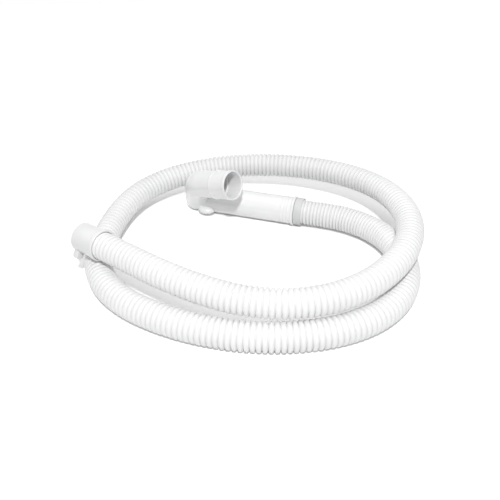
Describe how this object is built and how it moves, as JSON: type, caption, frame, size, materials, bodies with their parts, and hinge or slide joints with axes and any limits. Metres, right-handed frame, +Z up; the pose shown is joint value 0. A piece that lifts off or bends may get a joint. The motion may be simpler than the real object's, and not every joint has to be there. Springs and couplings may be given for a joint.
{
  "type": "washing machine drain hose",
  "caption": "White corrugated washing machine drain hose in loose turns, with a straight end cuff and a hooked outlet joined by a pale grey collar.",
  "frame": {"origin": "middle of the bounding box at the floor the hose lies on", "axes": "+Z up from the floor, +X to the right and +Y away from the viewer, who looks from -Y with the end cuff on the left"},
  "size_m": [0.345, 0.3095, 0.0725],
  "materials": {
    "hose_plastic": "satin white",
    "cuff_plastic": "soft gloss white",
    "hook_plastic": "gloss white",
    "collar_plastic": "satin pale grey"
  },
  "bodies": {
    "root": {"corrugated_hose": "hose_plastic", "end_cuff": "cuff_plastic", "outlet_hook": "hook_plastic", "hose_collar": "collar_plastic"}
  },
  "joints": []
}
